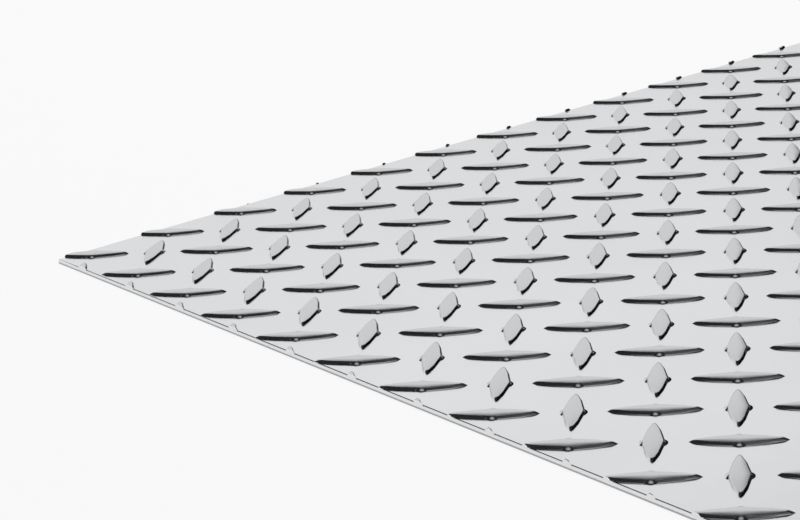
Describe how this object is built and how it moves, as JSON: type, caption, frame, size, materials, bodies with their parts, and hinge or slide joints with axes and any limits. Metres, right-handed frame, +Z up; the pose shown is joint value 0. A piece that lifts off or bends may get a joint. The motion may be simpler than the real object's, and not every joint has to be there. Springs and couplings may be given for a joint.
{
  "type": "aluminium checker plate",
  "caption": "Flat rectangular sheet of aluminium checker plate with raised diamond lugs on its upper face, for floors, treads and facings.",
  "frame": {"origin": "centre of the underside, on the surface that the sheet lies on", "axes": "+Z up through the thickness, towards the lug side; +X along the long sheared side, +Y along the short one"},
  "size_m": [0.9144, 0.6096, 0.002],
  "materials": {
    "bright_aluminium": "bright mill-rolled"
  },
  "bodies": {
    "root": {"checker_plate": "bright_aluminium"}
  },
  "joints": []
}
